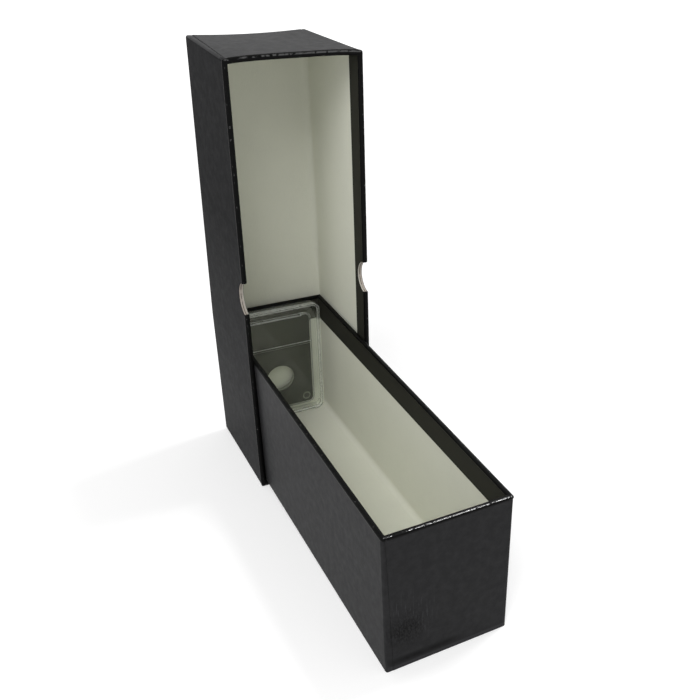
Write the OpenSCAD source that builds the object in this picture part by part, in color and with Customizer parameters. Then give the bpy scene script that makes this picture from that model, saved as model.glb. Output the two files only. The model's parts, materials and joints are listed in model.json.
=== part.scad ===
// Single-row coin holder box: a wrapped set-up tray, its deep telescoping lid stood on end behind it,
// and one clear two-part coin holder at the back of the row.

/* [Coin holder] */
// Width of the holder
holder_w = 60.3; // [54:0.1:80]
// Height of the holder
holder_h = 82.2; // [80:0.1:110]
// Thickness of the two halves snapped together
holder_t = 7; // [6.4:0.1:12]
// Radius of the holder's outside corners
holder_r = 5; // [2.5:0.1:6]
// Width of the raised border that holders stack on
border_w = 1.6; // [1.5:0.1:3]
// Height of the raised border over each window
border_h = 0.6; // [0.3:0.05:1]
// Thickness of each clear window
window_t = 1.2; // [0.8:0.1:1.4]
// Thickness of the wall round the insert pocket
pocket_wall_t = 0.9; // [0.6:0.1:1.5]
// Thickness of the tongue that snaps into the front half
tongue_t = 0.7; // [0.5:0.05:0.8]
// Height of the tongue above the parting line
tongue_h = 1; // [0.5:0.1:1.4]
// Gap round the tongue and where the halves meet
snap_gap = 0.1; // [0.05:0.01:0.2]
// Width of the rib between the label window and the coin window
rib_w = 1.5; // [0.8:0.1:3]
// Height of that rib over the window
rib_h = 0.3; // [0.1:0.05:0.6]
// Height of the rib's centre above the foot of the holder
rib_z = 54.3; // [50:0.1:66]

/* [Insert] */
// Clear margin at each side of the insert
insert_side = 7.5; // [4:0.1:10]
// Clear margin under the insert
insert_foot = 7.3; // [4:0.1:9]
// Clear margin over the insert's two upper corners
insert_head = 7.1; // [4:0.1:12]
// Corner radius of the insert
insert_r = 3; // [1:0.1:5]
// Gap between the insert and its pocket
insert_gap = 0.15; // [0.1:0.01:0.4]
// Gap between the insert's faces and the windows
face_gap = 0.1; // [0.05:0.01:0.2]
// Distance from each side of the insert to the recess in its top edge
recess_side = 5.2; // [4.2:0.1:15]
// Depth of that recess
recess_d = 0.8; // [0.4:0.1:1.5]
// Diameter of the coin hole
coin_d = 19.1; // [10:0.1:38]
// Height of the coin's centre above the foot of the holder
coin_z = 30.2; // [28:0.1:32]
// Outer diameter of the plain moulded ring
ring_d = 5.6; // [2:0.1:6]
// Width of the ring's groove
ring_w = 0.7; // [0.3:0.05:0.9]
// Depth of the ring's groove
ring_depth = 0.2; // [0.1:0.05:0.4]
// Distance of the ring's centre from the insert's right and lower edges
ring_inset = 4.6; // [3.5:0.1:6]

/* [Box materials] */
// Thickness of the chipboard
board_t = 2; // [1:0.1:3]
// Thickness of the embossed wrapping paper
wrap_t = 0.25; // [0.2:0.01:0.4]
// Thickness of the white lining paper
liner_t = 0.15; // [0.1:0.01:0.3]
// Thickness of the corner stays
stay_t = 0.15; // [0.1:0.01:0.2]
// Reach of a corner stay along each wall
stay_reach = 16; // [8:0.5:24]
// Gap at the butt joint between a long wall and an end wall
butt_gap = 0.15; // [0.1:0.01:0.3]
// Bevel left along the folded base edges by the score
score_bevel = 0.6; // [0.2:0.05:0.9]
// Radius of the board's upright corners
corner_r = 1.4; // [0.3:0.05:1.7]
// Radius of the paper over a folded rim or base edge
fold_r = 0.6; // [0.3:0.05:0.65]
// Distance from each corner to the edge of the end panel's paper
seam_inset = 3; // [1:0.1:8]

/* [Tray] */
// Clear length of the row between the folded-in papers
row_len = 244; // [150:1:400]
// Play between a holder and each side of the row
side_play = 2.2; // [0.5:0.1:6]
// How far a holder stands above the tray's rim, or below it when negative
holder_proud = -0.9; // [-4:0.1:6]
// Width of the paper folded in at the tray's rim
tray_turn_in = 15; // [6:0.5:30]
// Gap between the last holder and the back of the row
row_end_gap = 0.3; // [0.1:0.1:2]
// Gap under the holder
seat_gap = 0.1; // [0.05:0.01:0.3]

/* [Lid] */
// Play between the tray and each side of the lid
lid_side_play = 0.3; // [0.2:0.05:1.5]
// Play between the tray and each end of the lid
lid_end_play = 1.8; // [0.3:0.1:4]
// Space over the holders when the box is closed
head_room = 2.4; // [0:0.1:5]
// Height of tray left showing under the closed lid
reveal = 12.4; // [0:0.1:30]
// Width of the paper folded in at the lid's mouth
lid_turn_in = 12; // [6:0.5:30]
// Radius of the thumb notches
notch_r = 10; // [6:0.5:15]
// Height of the notch's centre beyond the lid's mouth
notch_rise = 1.5; // [0:0.1:4]

/* [Display position] */
// Gap between the tray's far end and the lid's back panel
back_gap = 0.8; // [0.3:0.1:5]
// Gap between the tray and the lid wall that it lies on
rest_gap = 0.1; // [0.05:0.01:0.3]

/* [Hidden] */

eps = 0.01;
LEFT = -1;
RIGHT = 1;
NEAR = 0;
FAR = 1;

wrap_colour = "#343536";
board_colour = "#a9a79b";
liner_colour = "#a9a998";
stay_colour = "#c9b48c";
clear_colour = [0.75, 0.78, 0.76, 0.35];
insert_colour = "#383a34";

// The wall stack is paper, board and lining; the paper is double on the ends and once more in the turn-in
wall_t = wrap_t + board_t + liner_t;
end_wall_t = wall_t + wrap_t;

// Tray, sized from the holder that it carries
tray_w = holder_w + 2 * side_play + 2 * (wall_t + wrap_t);
tray_len = row_len + 2 * (end_wall_t + wrap_t);
tray_h = wall_t + holder_h - holder_proud;

// Lid, sized from the tray that it slips over
lid_w = tray_w + 2 * lid_side_play + 2 * (wall_t + wrap_t);
lid_len = tray_len + 2 * lid_end_play + 2 * (end_wall_t + wrap_t);
lid_depth = wall_t + holder_h + head_room + wall_t - reveal;

// The tray's far end lies on the lid's end wall just inside the mouth, and its near edge on the table
engagement = lid_depth - wall_t - back_gap;
tilt = asin((end_wall_t + wrap_t + rest_gap) / (tray_len - engagement));
tray_y = engagement - lid_depth / 2 - tray_len;
edge_drop = fold_r * (sin(tilt) + cos(tilt) - 1);

// Inside the holder, measured forwards from its back face
half_t = holder_t / 2;
insert_w = holder_w - 2 * insert_side;
insert_h = holder_h - insert_foot - insert_head;
recess_w = insert_w - 2 * recess_side;
insert_t = holder_t - 2 * (border_h + window_t + face_gap);
coin_r = coin_d / 2;

// Square with one quarter-round corner, as cut away from an edge of radius r
module edge_cut(r) {
    difference() {
        translate([-eps, -eps]) square(r + eps);
        translate([r, r]) circle(r, $fn = 32);
    }
}

// Rectangle standing on the X axis, centred in x, with its four corners rounded
module edge_profile(w, h, r) {
    difference() {
        translate([-w / 2, 0]) square([w, h]);
        for (side = [0, 1]) mirror([side, 0]) {
            translate([-w / 2, 0]) edge_cut(r);
            translate([-w / 2, h]) mirror([0, 1]) edge_cut(r);
        }
    }
}

// Rounded rectangle standing on the X axis, centred in x
module round_rect(w, h, r) {
    translate([-w / 2 + r, 0]) square([w - 2 * r, h]);
    translate([-w / 2, r]) square([w, h - 2 * r]);
    for (x = [-w / 2 + r, w / 2 - r], y = [r, h - r]) translate([x, y]) circle(r, $fn = 48);
}

// Extrudes a profile drawn in XZ along Y, from y to y + len
module along_y(y, len) {
    translate([0, y + len, 0]) rotate([90, 0, 0]) linear_extrude(len) children();
}

// Extrudes a profile drawn in YZ (centred in y) across X, width w
module across_x(w, mid_y) {
    translate([-w / 2, mid_y, 0]) rotate([90, 0, 90]) linear_extrude(w) children();
}

// Outer form of a wrapped box: plan, long profile and cross profile meet
module wrapped_form(w, len, h) {
    intersection() {
        linear_extrude(h) {
            translate([0, wrap_t]) round_rect(w, len - 2 * wrap_t, corner_r + wrap_t);
            translate([-w / 2 + seam_inset, 0]) square([w - 2 * seam_inset, len]);
        }
        along_y(0, len) edge_profile(w, h, fold_r);
        across_x(w, len / 2) edge_profile(len, h, fold_r);
    }
}

// Everything inside the outer paper: the board with its stays on
module board_form(w, len, h) {
    translate([0, 2 * wrap_t, wrap_t]) linear_extrude(h - 2 * wrap_t)
        round_rect(w - 2 * wrap_t, len - 4 * wrap_t, corner_r);
}

// Straight-sided hollow, set in by side_in on the long walls and end_in on the ends
module hollow(w, len, side_in, end_in, z0, z1) {
    translate([-w / 2 + side_in, end_in, z0]) cube([w - 2 * side_in, len - 2 * end_in, z1 - z0]);
}

// Hollow of the finished box at its rim, with the four inner edges of the rim rolled over
module rim_hollow(w, len, h, z0) {
    side_in = wall_t + wrap_t;
    end_in = end_wall_t + wrap_t;
    hollow(w, len, side_in, end_in, z0, h + 1);
    for (side = [0, 1]) mirror([side, 0, 0])
        along_y(end_in, len - 2 * end_in) translate([w / 2 - side_in, h]) mirror([0, 1]) edge_cut(fold_r);
    translate([0, len / 2, 0]) for (side = [0, 1]) mirror([0, side, 0])
        across_x(w - 2 * side_in, 0) translate([len / 2 - end_in, h]) mirror([0, 1]) edge_cut(fold_r);
}

// One gummed corner stay: an angle of paper let into the board's corner, full wall height
module corner_stay(w, len, h, side, end) {
    z0 = wrap_t + score_bevel;
    y_corner = end == NEAR ? 2 * wrap_t : len - 2 * wrap_t;
    intersection() {
        difference() {
            board_form(w, len, h);
            translate([0, 2 * wrap_t + stay_t, 0]) linear_extrude(h)
                round_rect(w - 2 * (wrap_t + stay_t), len - 4 * wrap_t - 2 * stay_t, corner_r - stay_t);
        }
        translate([side * (w / 2 - wrap_t) - stay_reach, y_corner - stay_reach, z0])
            cube([2 * stay_reach, 2 * stay_reach, h - wrap_t - z0]);
    }
}

// Folded chipboard blank: base and four walls, scored along the base and butted at the corners
module box_board(w, len, h) {
    half_w = w / 2 - wrap_t;
    end_y = 2 * wrap_t;
    difference() {
        board_form(w, len, h);
        hollow(w, len, wrap_t + board_t, end_y + board_t, wrap_t + board_t, h);
        for (side = [LEFT, RIGHT], end = [NEAR, FAR]) corner_stay(w, len, h, side, end);
        for (side = [LEFT, RIGHT]) {
            translate([side * half_w, len / 2, wrap_t]) rotate([0, 45, 0])
                cube([score_bevel * sqrt(2), len, score_bevel * sqrt(2)], center = true);
        }
        for (y = [end_y, len - end_y]) {
            translate([0, y, wrap_t]) rotate([45, 0, 0])
                cube([w, score_bevel * sqrt(2), score_bevel * sqrt(2)], center = true);
        }
        for (side = [0, 1], y = [end_y - eps, len - end_y - board_t - eps]) mirror([side, 0, 0])
            translate([half_w - board_t - butt_gap, y, wrap_t + board_t])
                cube([butt_gap, board_t + 2 * eps, h]);
    }
}

// White lining pasted to the inside of the board
module box_liner(w, len, h) {
    difference() {
        hollow(w, len, wrap_t + board_t, 2 * wrap_t + board_t, wrap_t + board_t, h - wrap_t);
        hollow(w, len, wall_t, end_wall_t, wall_t, h);
    }
}

// Embossed paper: over the base and walls, round the rim and down inside by the turn-in
module box_wrap(w, len, h, turn_in) {
    difference() {
        wrapped_form(w, len, h);
        translate([0, 2 * wrap_t, wrap_t]) linear_extrude(h - wrap_t - turn_in)
            round_rect(w - 2 * wrap_t, len - 4 * wrap_t, corner_r);
        difference() {
            board_form(w, len, h);
            hollow(w, len, wall_t, end_wall_t, h - turn_in, h);
        }
        rim_hollow(w, len, h, h - turn_in - eps);
    }
}

// Thumb notches punched through both long walls at the middle of the mouth
module punched(w, len, h) {
    difference() {
        children();
        translate([-w, len / 2, h + notch_rise]) rotate([0, 90, 0]) cylinder(h = 2 * w, r = notch_r, $fn = 96);
    }
}

// Places: the tray lies on the table and the lid's end wall, the lid stands on its near end
module in_tray() {
    translate([0, tray_y, -edge_drop]) rotate([tilt, 0, 0]) children();
}

module in_lid() {
    translate([0, lid_depth / 2, 0]) rotate([90, 0, 0]) children();
}

module in_holder() {
    in_tray() translate([0, tray_len - end_wall_t - wrap_t - row_end_gap, wall_t + seat_gap]) children();
}

module lid_board() {
    color(board_colour) in_lid() punched(lid_w, lid_len, lid_depth) box_board(lid_w, lid_len, lid_depth);
}

module lid_liner() {
    color(liner_colour) in_lid() punched(lid_w, lid_len, lid_depth) box_liner(lid_w, lid_len, lid_depth);
}

module lid_wrap() {
    color(wrap_colour) in_lid() punched(lid_w, lid_len, lid_depth)
        box_wrap(lid_w, lid_len, lid_depth, lid_turn_in);
}

module lid_stay(side, end) {
    color(stay_colour) in_lid() corner_stay(lid_w, lid_len, lid_depth, side, end);
}

module tray_board() {
    color(board_colour) in_tray() box_board(tray_w, tray_len, tray_h);
}

module tray_liner() {
    color(liner_colour) in_tray() box_liner(tray_w, tray_len, tray_h);
}

module tray_wrap() {
    color(wrap_colour) in_tray() box_wrap(tray_w, tray_len, tray_h, tray_turn_in);
}

module tray_stay(side, end) {
    color(stay_colour) in_tray() corner_stay(tray_w, tray_len, tray_h, side, end);
}

// Layer of the holder: an outline drawn in XZ, from depth y0 to y1 in front of the back face
module layer(y0, y1) {
    translate([0, -y0, 0]) rotate([90, 0, 0]) linear_extrude(y1 - y0) children();
}

// Holder outline set in from its edge
module holder_outline(inset) {
    translate([0, inset]) round_rect(holder_w - 2 * inset, holder_h - 2 * inset, holder_r - inset);
}

// Insert outline grown by a gap, with the recess in its top edge
module insert_outline(gap) {
    difference() {
        translate([0, insert_foot - gap]) round_rect(insert_w + 2 * gap, insert_h + 2 * gap, insert_r + gap);
        translate([-recess_w / 2 + gap, insert_foot + insert_h - recess_d + gap])
            square([recess_w - 2 * gap, recess_d + eps]);
    }
}

module pocket_ring() {
    difference() {
        translate([0, insert_foot - insert_gap - pocket_wall_t])
            round_rect(insert_w + 2 * (insert_gap + pocket_wall_t), insert_h + 2 * (insert_gap + pocket_wall_t),
                insert_r + insert_gap + pocket_wall_t);
        insert_outline(insert_gap);
    }
}

// Back half: window, border, the lower half of the pocket wall and the snap tongue
module holder_back() {
    color(clear_colour) in_holder() {
        layer(border_h, border_h + window_t) holder_outline(border_w / 2);
        layer(0, half_t) difference() {
            holder_outline(0);
            holder_outline(border_w);
        }
        layer(half_t, half_t + tongue_h) difference() {
            holder_outline(border_w - tongue_t);
            holder_outline(border_w);
        }
        layer(border_h + window_t - eps, half_t - snap_gap / 2) pocket_ring();
    }
}

// Front half: the same border and pocket wall, rebated for the tongue, with the rib across its window
module holder_front() {
    window_y = holder_t - border_h;
    color(clear_colour) in_holder() {
        layer(window_y - window_t, window_y) holder_outline(border_w / 2);
        layer(half_t + snap_gap / 2, holder_t) difference() {
            holder_outline(0);
            holder_outline(border_w - tongue_t - snap_gap);
        }
        layer(half_t + tongue_h + snap_gap, holder_t) difference() {
            holder_outline(border_w - tongue_t - snap_gap - eps);
            holder_outline(border_w);
        }
        layer(half_t + snap_gap / 2, window_y - window_t + eps) pocket_ring();
        layer(window_y - eps, window_y + rib_h) translate([-insert_w / 2, rib_z - rib_w / 2])
            square([insert_w, rib_w]);
    }
}

// Dark insert: recessed top edge, round coin hole and a plain moulded ring in its lower corner
module coin_insert() {
    y0 = border_h + window_t + face_gap;
    ring_x = insert_w / 2 - ring_inset;
    color(insert_colour) in_holder() difference() {
        layer(y0, y0 + insert_t) difference() {
            insert_outline(0);
            translate([0, coin_z]) circle(coin_r, $fn = 96);
        }
        layer(y0 + insert_t - ring_depth, y0 + insert_t + eps) translate([ring_x, insert_foot + ring_inset])
            difference() {
                circle(ring_d / 2, $fn = 48);
                circle(ring_d / 2 - ring_w, $fn = 48);
            }
    }
}

lid_board();
lid_liner();
lid_wrap();
lid_stay(LEFT, NEAR);  // lid_stay_foot_left
lid_stay(RIGHT, NEAR);  // lid_stay_foot_right
lid_stay(LEFT, FAR);  // lid_stay_head_left
lid_stay(RIGHT, FAR);  // lid_stay_head_right
tray_board();
tray_liner();
tray_wrap();
tray_stay(LEFT, NEAR);  // tray_stay_front_left
tray_stay(RIGHT, NEAR);  // tray_stay_front_right
tray_stay(LEFT, FAR);  // tray_stay_rear_left
tray_stay(RIGHT, FAR);  // tray_stay_rear_right
holder_back();
coin_insert();
holder_front();
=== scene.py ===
import json
import math

import bmesh
import bpy
import numpy as np
from bpy.props import FloatProperty, FloatVectorProperty, PointerProperty
from mathutils import Euler, Matrix, Vector


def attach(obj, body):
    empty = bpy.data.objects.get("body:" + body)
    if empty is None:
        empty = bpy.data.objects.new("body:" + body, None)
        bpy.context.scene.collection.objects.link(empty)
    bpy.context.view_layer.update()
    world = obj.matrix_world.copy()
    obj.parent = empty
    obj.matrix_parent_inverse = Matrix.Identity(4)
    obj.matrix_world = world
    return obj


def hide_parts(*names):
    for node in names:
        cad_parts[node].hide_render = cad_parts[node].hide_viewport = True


bl_info = {
    "name": "Coin holder box",
    "version": (1, 0, 0),
    "blender": (4, 5, 0),
    "location": "3D View > Sidebar > Coin box",
    "description": "Papers, board and clear holder of a paper-covered box for one row of coin holders",
    "category": "Add Mesh",
}

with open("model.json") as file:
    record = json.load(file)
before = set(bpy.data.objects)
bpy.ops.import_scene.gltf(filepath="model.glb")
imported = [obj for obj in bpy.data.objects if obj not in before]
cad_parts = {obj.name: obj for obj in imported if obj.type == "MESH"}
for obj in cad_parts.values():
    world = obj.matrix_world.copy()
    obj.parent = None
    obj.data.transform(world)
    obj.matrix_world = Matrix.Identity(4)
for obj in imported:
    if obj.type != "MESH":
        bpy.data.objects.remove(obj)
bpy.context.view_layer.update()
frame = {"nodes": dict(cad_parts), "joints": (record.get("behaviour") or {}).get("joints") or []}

MM = 0.001
PLACE = "own_place"
# Points nearer than this are one, and points within the next of a plane lie on it
MERGE = 1e-6
ON_PLANE = 1e-5
# How far up the tray keeps the standing lid square
LID_HELD = 90 * MM
# The middle of the rim, from the outer face, and how far down its strip of paper reaches
RIM_MIDDLE = 1.4 * MM
RIM_DEPTH = 1.6 * MM
# The lining's inner faces and the end panels' paper seam, from the outer faces
LINING_SIDE_IN = 2.4 * MM
LINING_END_IN = 2.65 * MM
SEAM_IN = 3 * MM
# Where the lining is cut across its cove, as shares of the cove's radius
COVE_SHARES = (0.15, 0.3, 0.5, 0.75, 1.0)
# Faces of the mouldings from this area up are shaded flat, and the insert's below the next are polished and
# painted pale as a highlight
FLAT_AREA = 10 * MM ** 2
HIGHLIGHT_AREA = 12 * MM ** 2
WHITE = (1, 1, 1, 1)
# The stage, in metres and radians
FLOOR_RADIUS = 9
BOX_MIDDLE = (0, -0.08, 0.12)
ABOVE_TRAY = (0, -0.1, 0.15)
KEY_PLACE = (-0.95, -1.2, 1.8)
FILL_PLACE = (-1.5, -1.3, 0.7)
TOP_PLACE = (0.77, 0.04, 1.79)
CAMERA_PLACE = (-0.16547, -0.49968, 0.34421)
CAMERA_TURN = (1.0454755, -0.0289458, -0.5169655)
CAMERA_SHIFT = (-0.160157, 0.055357)
# Patches of the tray's near end panel, worn and painted: low, high and softness across it and up from its rim, in
# mm
CREASED_PATCH = ((-33, -15, 12), (-68, -53, 18))
BRUSHED_PATCH = ((-30, -9, 12), (-64, -40, 20))
# Painted shade: a dull, darker band just above the bottom fold
SHADE_BAND_PATCH = ((-33, 4, 14), (-81.5, -78, 3.5))
# Below this height the paper is painted paler: a painted highlight along the bottom fold
FOLD_HIGHLIGHT_TO = -82.5
# Specular level of the black paper's thin coat
COAT = 0.05


def linear(code):
    """sRGB hex colour as a linear RGBA tuple."""
    channels = [int(code[i:i + 2], 16) / 255 for i in (1, 3, 5)]
    return tuple(c / 12.92 if c <= 0.04045 else ((c + 0.055) / 1.055) ** 2.4 for c in channels) + (1.0,)


def add(tree, kind, inputs=(), **settings):
    """One node with its settings; each input is given a value or linked to a socket. Inputs that share a name
    go by number."""
    node = tree.nodes.new(kind)
    for name, value in settings.items():
        setattr(node, name, value)
    for key, value in dict(inputs).items():
        if isinstance(value, bpy.types.NodeSocket):
            tree.links.new(value, node.inputs[key])
        else:
            node.inputs[key].default_value = value
    return node


def fresh_material(name):
    """An empty node material and its tree."""
    material = bpy.data.materials.new(name)
    material.use_nodes = True
    material.node_tree.nodes.clear()
    return material, material.node_tree


def colour_property(name, description, code):
    """A colour setting, with its default as sRGB hex."""
    return FloatVectorProperty(name=name, description=description, subtype="COLOR", size=4,
                               min=0, max=1, default=linear(code))


def length_property(name, description, millimetres):
    """A length setting, with its default in millimetres."""
    return FloatProperty(name=name, description=description, subtype="DISTANCE", unit="LENGTH",
                         default=millimetres * MM)


class PaperSettings(bpy.types.PropertyGroup):
    """Colours and grain of the box papers and board."""
    outside: colour_property("Outside paper", "Black embossed paper that covers the box", "#232324")
    worn: colour_property("Worn paper", "The same paper where handling has polished it", "#2a2a2b")
    # Near black, darker than the paper beside it: painted shade over the folded rim
    rim: colour_property("Rim paper", "The same paper burnished over the rim", "#0a0a0a")
    turned_in: colour_property("Turned-in paper", "The paper's margin folded down inside", "#30302b")
    lining: colour_property("Lining", "Unbleached lining paper inside", "#dbdccf")
    board: colour_property("Board", "Cut edge of the chipboard", "#a8a097")
    board_ply: colour_property("Board plies", "Darker plies in the cut edge", "#2c2922")
    stay: colour_property("Corner stays", "Gummed paper tape at the board corners", "#c4a675")
    grain: length_property("Grain", "Spacing of the grain pressed into the paper", 0.9)
    grain_depth: FloatProperty(name="Grain depth", description="Strength of the grain's bump",
                               default=0.35, min=0, max=1)


class SlackSettings(bpy.types.PropertyGroup):
    """How far the folded paper box has moved away from square."""
    tray_lean: length_property("Tray lean", "How far the near rim of the tray leans to the left", 1.6)
    tray_rear_lean: length_property("Rear lean", "The same lean where the lid holds the tray", 0.25)
    tray_pinch: length_property("Tray pinch", "How much narrower each side is at the base", 0.27)
    lid_flare: length_property("Lid flare", "How far each lid wall springs out at the mouth", 0.42)
    lid_back_left: length_property("Lid head, back left", "Shift of the lid's upper back left corner", 3.67)
    lid_back_right: length_property("Lid head, back right", "Shift of the lid's upper back right corner", -0.95)
    lid_front_left: length_property("Lid head, front left", "Shift of the lid's upper front left corner", 1.62)
    lid_front_right: length_property("Lid head, front right", "Shift of the lid's upper front right corner", 0.61)
    head_dip: length_property("Head dip", "Sag of the lid's end panel at its back fold", 1.2)
    head_arch: length_property("Head arch", "Rise of the lid's end panel at the mouth", 1.1)
    cell: length_property("Mesh cell", "Spacing of the cuts that let the papers bend", 8)
    rim_cell: length_property("Rim cell", "Spacing of the cuts along the folded rim", 1.6)
    cove: length_property("Cove", "Radius in which the lining bridges the inner folds", 4)
    seam_slant: length_property("Seam slant", "How much the end panels' paper narrows towards the rim", -2.2)
    swell: length_property("Rim swell", "How far the paper stands proud over the rim", 0.04)
    crown: length_property("Rim crown", "Height of the paper's crown over the middle of the rim", 0.38)
    wrinkle: length_property("Rim wrinkles", "Height of the wrinkles along the rim", 0.14)
    wrinkle_length: length_property("Wrinkle length", "Spacing of the wrinkles along the rim", 2.4)


class HolderSettings(bpy.types.PropertyGroup):
    """Finish of the clear holder and its insert."""
    clear: colour_property("Clear plastic", "Tint of the clear halves", "#fbfdfb")
    # Painted highlight: the pale colour on the clear half's edges stands for light along them
    edge_highlight_colour: colour_property("Highlit edges", "Pale lines along the mouldings' edges", "#e4e8e2")
    insert: colour_property("Insert", "Matt insert that grips the coin", "#292c25")
    # The paler colour of the insert's polished edges and ring is a painted highlight
    insert_highlight: colour_property("Insert edges", "The insert where its edges are polished", "#74776b")
    edge: length_property("Edge radius", "Radius left on the mouldings' edges", 0.22)
    clear_roughness: FloatProperty(name="Clear roughness", description="Haze of the moulded surface",
                                   default=0.02, min=0, max=1)


class StageSettings(bpy.types.PropertyGroup):
    """Camera, lamps and floor."""
    focal: FloatProperty(name="Focal length", description="On a 36 mm wide sensor", default=46.257,
                         unit="CAMERA")
    floor: colour_property("Floor", "Plain pale studio floor", "#e6e6e6")
    sky: FloatProperty(name="Surround", description="Strength of the light from all around", default=0.5, min=0)
    key: FloatProperty(name="Key lamp", description="Power of the large soft lamp above on the left",
                       default=29, min=0, unit="POWER")
    fill: FloatProperty(name="Fill lamp", description="Power of the low lamp on the left", default=3,
                        min=0, unit="POWER")
    top: FloatProperty(name="Top lamp", description="Power of the soft lamp overhead", default=12, min=0,
                       unit="POWER")


class OwnFrame:
    """Where a box lies: its matrix, outer size and the width of paper turned in at its rim. In its own frame x
    runs across, y along from the end fold and z up from the base."""

    def __init__(self, wrap, turn, turn_in, body):
        vertices = frame["nodes"][wrap].data.vertices
        points = np.empty(len(vertices) * 3)
        vertices.foreach_get("co", points)
        turned = Matrix.Rotation(turn, 4, "X")
        own = points.reshape(-1, 3) @ np.array(turned.to_3x3())
        low, high = own.min(axis=0), own.max(axis=0)
        low[0] = 0
        self.matrix = turned @ Matrix.Translation(low)
        self.width = 2 * high[0]
        self.length, self.height = high[1:] - low[1:]
        self.turn_in = turn_in * MM
        self.body = body


def tray_tilt():
    """The tray's slope, from the axis on which its holder lifts out."""
    axis = next(j for j in frame["joints"] if j["name"] == "holder_lift")["axis"]
    return math.atan2(-axis[1], axis[2])


BOXES = {
    "tray": OwnFrame("tray_wrap", tray_tilt(), 15, "tray"),
    "lid": OwnFrame("lid_wrap", math.pi / 2, 12, "lid"),
}


def lean_tray(own, slack):
    """The open tray leans left towards its near end and pinches at its base."""
    box = BOXES["tray"]
    side = own[:, 0] / (box.width / 2)
    along = own[:, 1] / box.length
    up = own[:, 2] / box.height
    own[:, 0] -= up * (slack.tray_lean * (1 - along) + slack.tray_rear_lean * along)
    own[:, 0] -= side * slack.tray_pinch * (1 - up)
    return own


def splay_lid(own, slack):
    """The lid's walls spring out at the mouth, and its head, which holds nothing, has gone out of square."""
    box = BOXES["lid"]
    side = own[:, 0] / (box.width / 2)
    out = own[:, 2] / box.height
    rise = np.clip((own[:, 1] - LID_HELD) / (box.length - LID_HELD), 0, 1)
    left = out * slack.lid_front_left + (1 - out) * slack.lid_back_left
    right = out * slack.lid_front_right + (1 - out) * slack.lid_back_right
    head = np.clip((own[:, 1] - box.length + 30 * MM) / (25 * MM), 0, 1)
    middle = np.clip(1 - side ** 2, 0, 1)
    flat = np.clip(1 - side ** 4, 0, 1)
    own[:, 0] += side * slack.lid_flare * out
    own[:, 0] += rise * ((1 - side) / 2 * left + (1 + side) / 2 * right)
    own[:, 1] += head * (out * flat * slack.head_arch - (1 - out) * middle * slack.head_dip)
    return own


def cut_across(work, axis, places):
    """Cuts the mesh by planes across one axis."""
    normal = Vector((0, 0, 0))
    normal[axis] = 1
    for place in places:
        bmesh.ops.bisect_plane(work, geom=work.verts[:] + work.edges[:] + work.faces[:], dist=1e-7,
                               plane_co=normal * place, plane_no=normal)


def own_copy(node, which):
    """A CAD node's shape, merged and turned into its box's own frame."""
    work = bmesh.new()
    work.from_mesh(frame["nodes"][node].data)
    bmesh.ops.remove_doubles(work, verts=work.verts, dist=MERGE)
    bmesh.ops.transform(work, matrix=BOXES[which].matrix.inverted(), verts=work.verts)
    bmesh.ops.dissolve_limit(work, angle_limit=math.radians(0.5), verts=work.verts, edges=work.edges)
    return work


def cell_places(start, span, cell):
    """Places of the cuts that divide a span into cells."""
    count = max(1, round(span / cell))
    return [start + span * step / count for step in range(1, count)]


def soften_folds(own, which, radius):
    """The lining bridges the inner folds in a small cove, but not under the holder's foot in the tray, nor where
    the lid holds the tray."""
    box = BOXES[which]
    right, left, near_end, far_end, base = range(5)
    gaps = (box.width / 2 - LINING_SIDE_IN - own[:, 0], own[:, 0] + box.width / 2 - LINING_SIDE_IN,
            own[:, 1] - LINING_END_IN, box.length - LINING_END_IN - own[:, 1], own[:, 2] - LINING_SIDE_IN)
    inward = np.array(((-1.0, 0, 0), (1.0, 0, 0), (0, 1.0, 0), (0, -1.0, 0), (0, 0, 1.0)))
    folds = [(right, near_end), (left, near_end), (right, far_end), (left, far_end),
             (right, base), (left, base), (near_end, base)]
    free = 1.0
    if which == "lid":
        folds.append((far_end, base))
        free = np.clip((own[:, 1] - LID_HELD - 5 * MM) / (30 * MM), 0, 1)
    upright = 0.75 * np.clip((box.height - box.turn_in - own[:, 2]) / (12 * MM), 0, 1)
    inner = np.min(gaps, axis=0) > -MERGE
    push = np.zeros_like(own)
    for one, other in folds:
        share = 1.0 if other == base else upright
        reach = np.maximum(radius * share * free, 1e-9) * np.ones(len(own))
        for near, far in ((one, other), (other, one)):
            part = inner & (np.abs(gaps[near]) < ON_PLANE) & (gaps[far] < reach) & (reach > 0.2 * MM)
            angle = math.pi / 4 * (1 + np.clip(gaps[far] / reach, 0, 1))
            lift = reach * (1 - np.sin(angle))
            slide = reach * (1 - np.cos(angle)) - gaps[far]
            weight = part * np.where(np.abs(gaps[far]) < ON_PLANE, 0.5, 1.0)
            push += weight[:, None] * (lift[:, None] * inward[near] + slide[:, None] * inward[far])
    return own + push


def bent_object(name, mesh, which, slack, material):
    """Keeps each point's unbent place as an attribute, bends the mesh with its box and makes it a piece that
    rides."""
    box = BOXES[which]
    own = np.empty(len(mesh.vertices) * 3)
    mesh.vertices.foreach_get("co", own)
    own = own.reshape(-1, 3)
    from_rim = own - np.array((0, 0, box.height))
    mesh.attributes.new(PLACE, "FLOAT_VECTOR", "POINT").data.foreach_set("vector", from_rim.ravel())
    from_seam = np.abs(np.abs(own[:, 0]) - box.width / 2 + SEAM_IN)
    from_end = np.minimum(own[:, 1], box.length - own[:, 1])
    on_seam = (from_seam < 0.01 * MM) & (from_end < 0.6 * MM)
    slant = slack.seam_slant * (0.5 - own[:, 2] / box.height)
    own[:, 0] += np.where(on_seam, np.sign(own[:, 0]) * slant, 0)
    if name.endswith("liner"):
        own = soften_folds(own, which, slack.cove)
    own = (lean_tray if which == "tray" else splay_lid)(own, slack)
    mesh.vertices.foreach_set("co", own.ravel())
    mesh.transform(box.matrix)
    mesh.update()
    piece = bpy.data.objects.new(name, mesh)
    bpy.context.scene.collection.objects.link(piece)
    mesh.materials.clear()
    mesh.materials.append(material)
    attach(piece, box.body)
    return piece


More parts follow.
